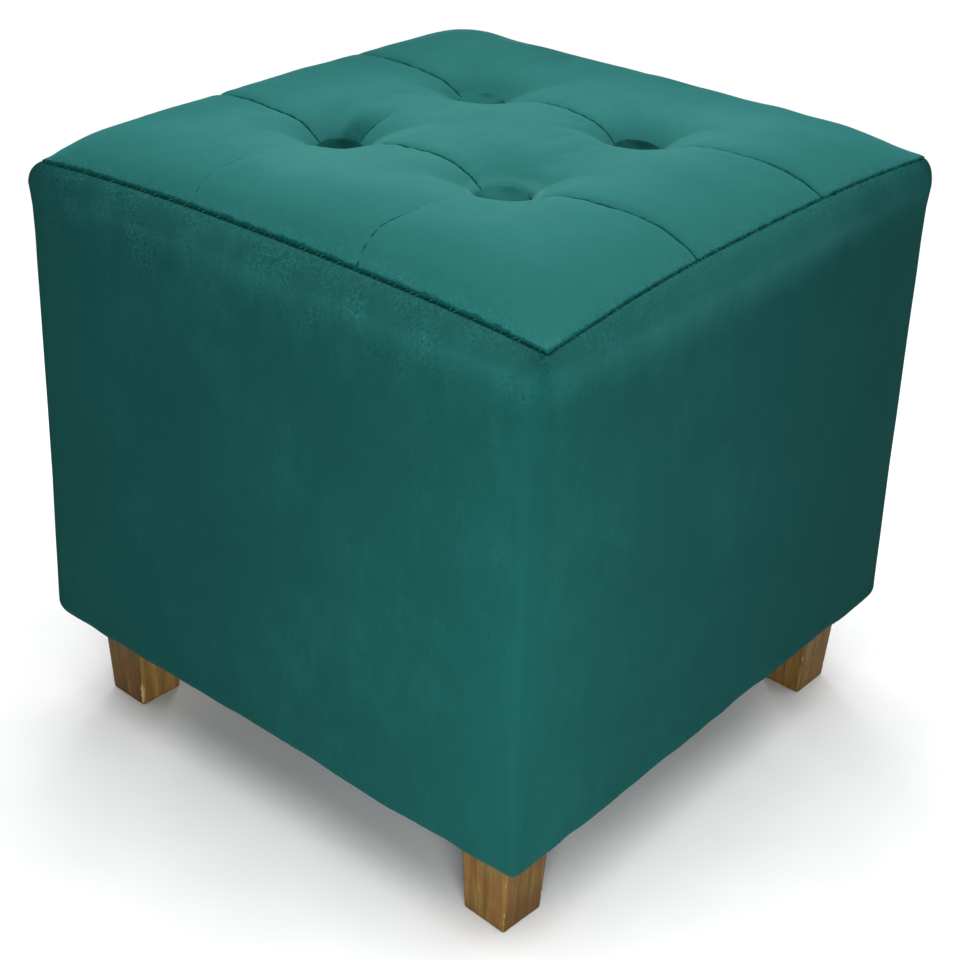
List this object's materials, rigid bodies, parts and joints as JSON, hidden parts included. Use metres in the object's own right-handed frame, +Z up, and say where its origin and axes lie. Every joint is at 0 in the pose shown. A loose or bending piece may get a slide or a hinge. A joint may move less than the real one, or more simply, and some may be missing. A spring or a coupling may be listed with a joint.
{
  "type": "square tufted pouf",
  "caption": "Square velvet pouf with a button-tufted top panel and a plain side cover, standing on tapered wooden feet.",
  "frame": {"origin": "on the floor, in the middle of the four feet", "axes": "+Z up; -Y towards the front, whose right-hand end is the corner nearest the viewer in the picture; +X along the front to the right"},
  "size_m": [0.35, 0.35, 0.3576],
  "materials": {
    "side_velvet": "cut velvet with a short pile, deep teal",
    "top_velvet": "cut velvet with a short pile that lies flat and looks lighter from above, teal",
    "button_velvet": "the same velvet stretched over a dome",
    "foot_wood": "stained and thinly lacquered, satin"
  },
  "bodies": {
    "root": {"side_cover": "side_velvet", "top_panel": "top_velvet", "button_back": "button_velvet", "button_front": "button_velvet", "button_left": "button_velvet", "button_right": "button_velvet", "foot_back": "foot_wood", "foot_front": "foot_wood", "foot_left": "foot_wood", "foot_right": "foot_wood"}
  },
  "joints": []
}
